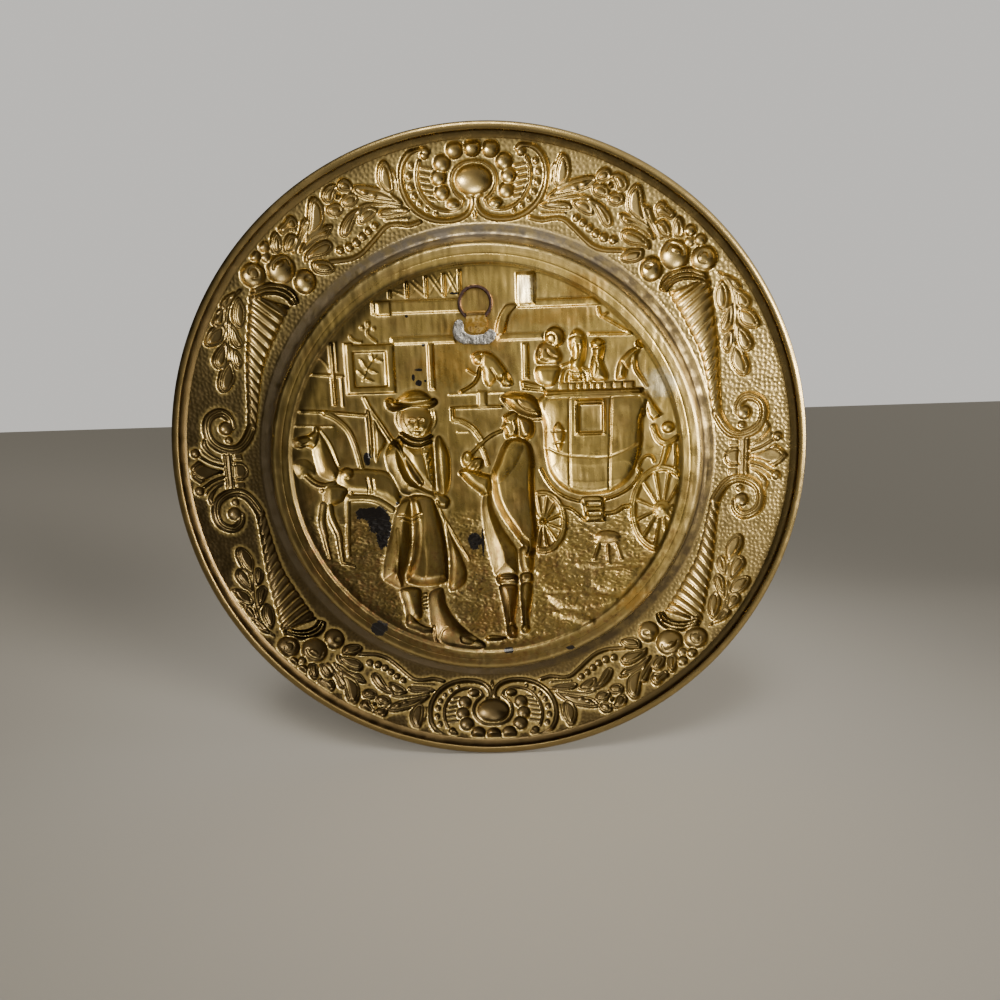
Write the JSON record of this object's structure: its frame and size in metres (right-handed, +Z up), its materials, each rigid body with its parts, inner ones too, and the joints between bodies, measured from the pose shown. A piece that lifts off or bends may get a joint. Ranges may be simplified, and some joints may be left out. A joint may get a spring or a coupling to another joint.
{
  "type": "pressed brass wall plate",
  "caption": "Round wall plate of thin pressed brass with a rolled edge, a relief scene in its well and fruit and shells on its border, hung by a ring soldered to its back.",
  "frame": {"origin": "where the hanging ring bears on its hook: the inside of the ring at its top", "axes": "+Z up the wall, +Y out of the plate's back, towards the wall, and -Y out of its decorated front"},
  "size_m": [0.356, 0.0291, 0.3559],
  "materials": {
    "brass": "aged pressed sheet brass with brown patina",
    "tab_brass": "cut and folded strip, dull",
    "solder": "soft solder, dull grey and lumpy",
    "ring_wire": "drawn wire, dark brown patina"
  },
  "bodies": {
    "root": {"plate": "brass", "hanger_tab": "tab_brass", "solder": "solder", "ring": "ring_wire"}
  },
  "joints": []
}
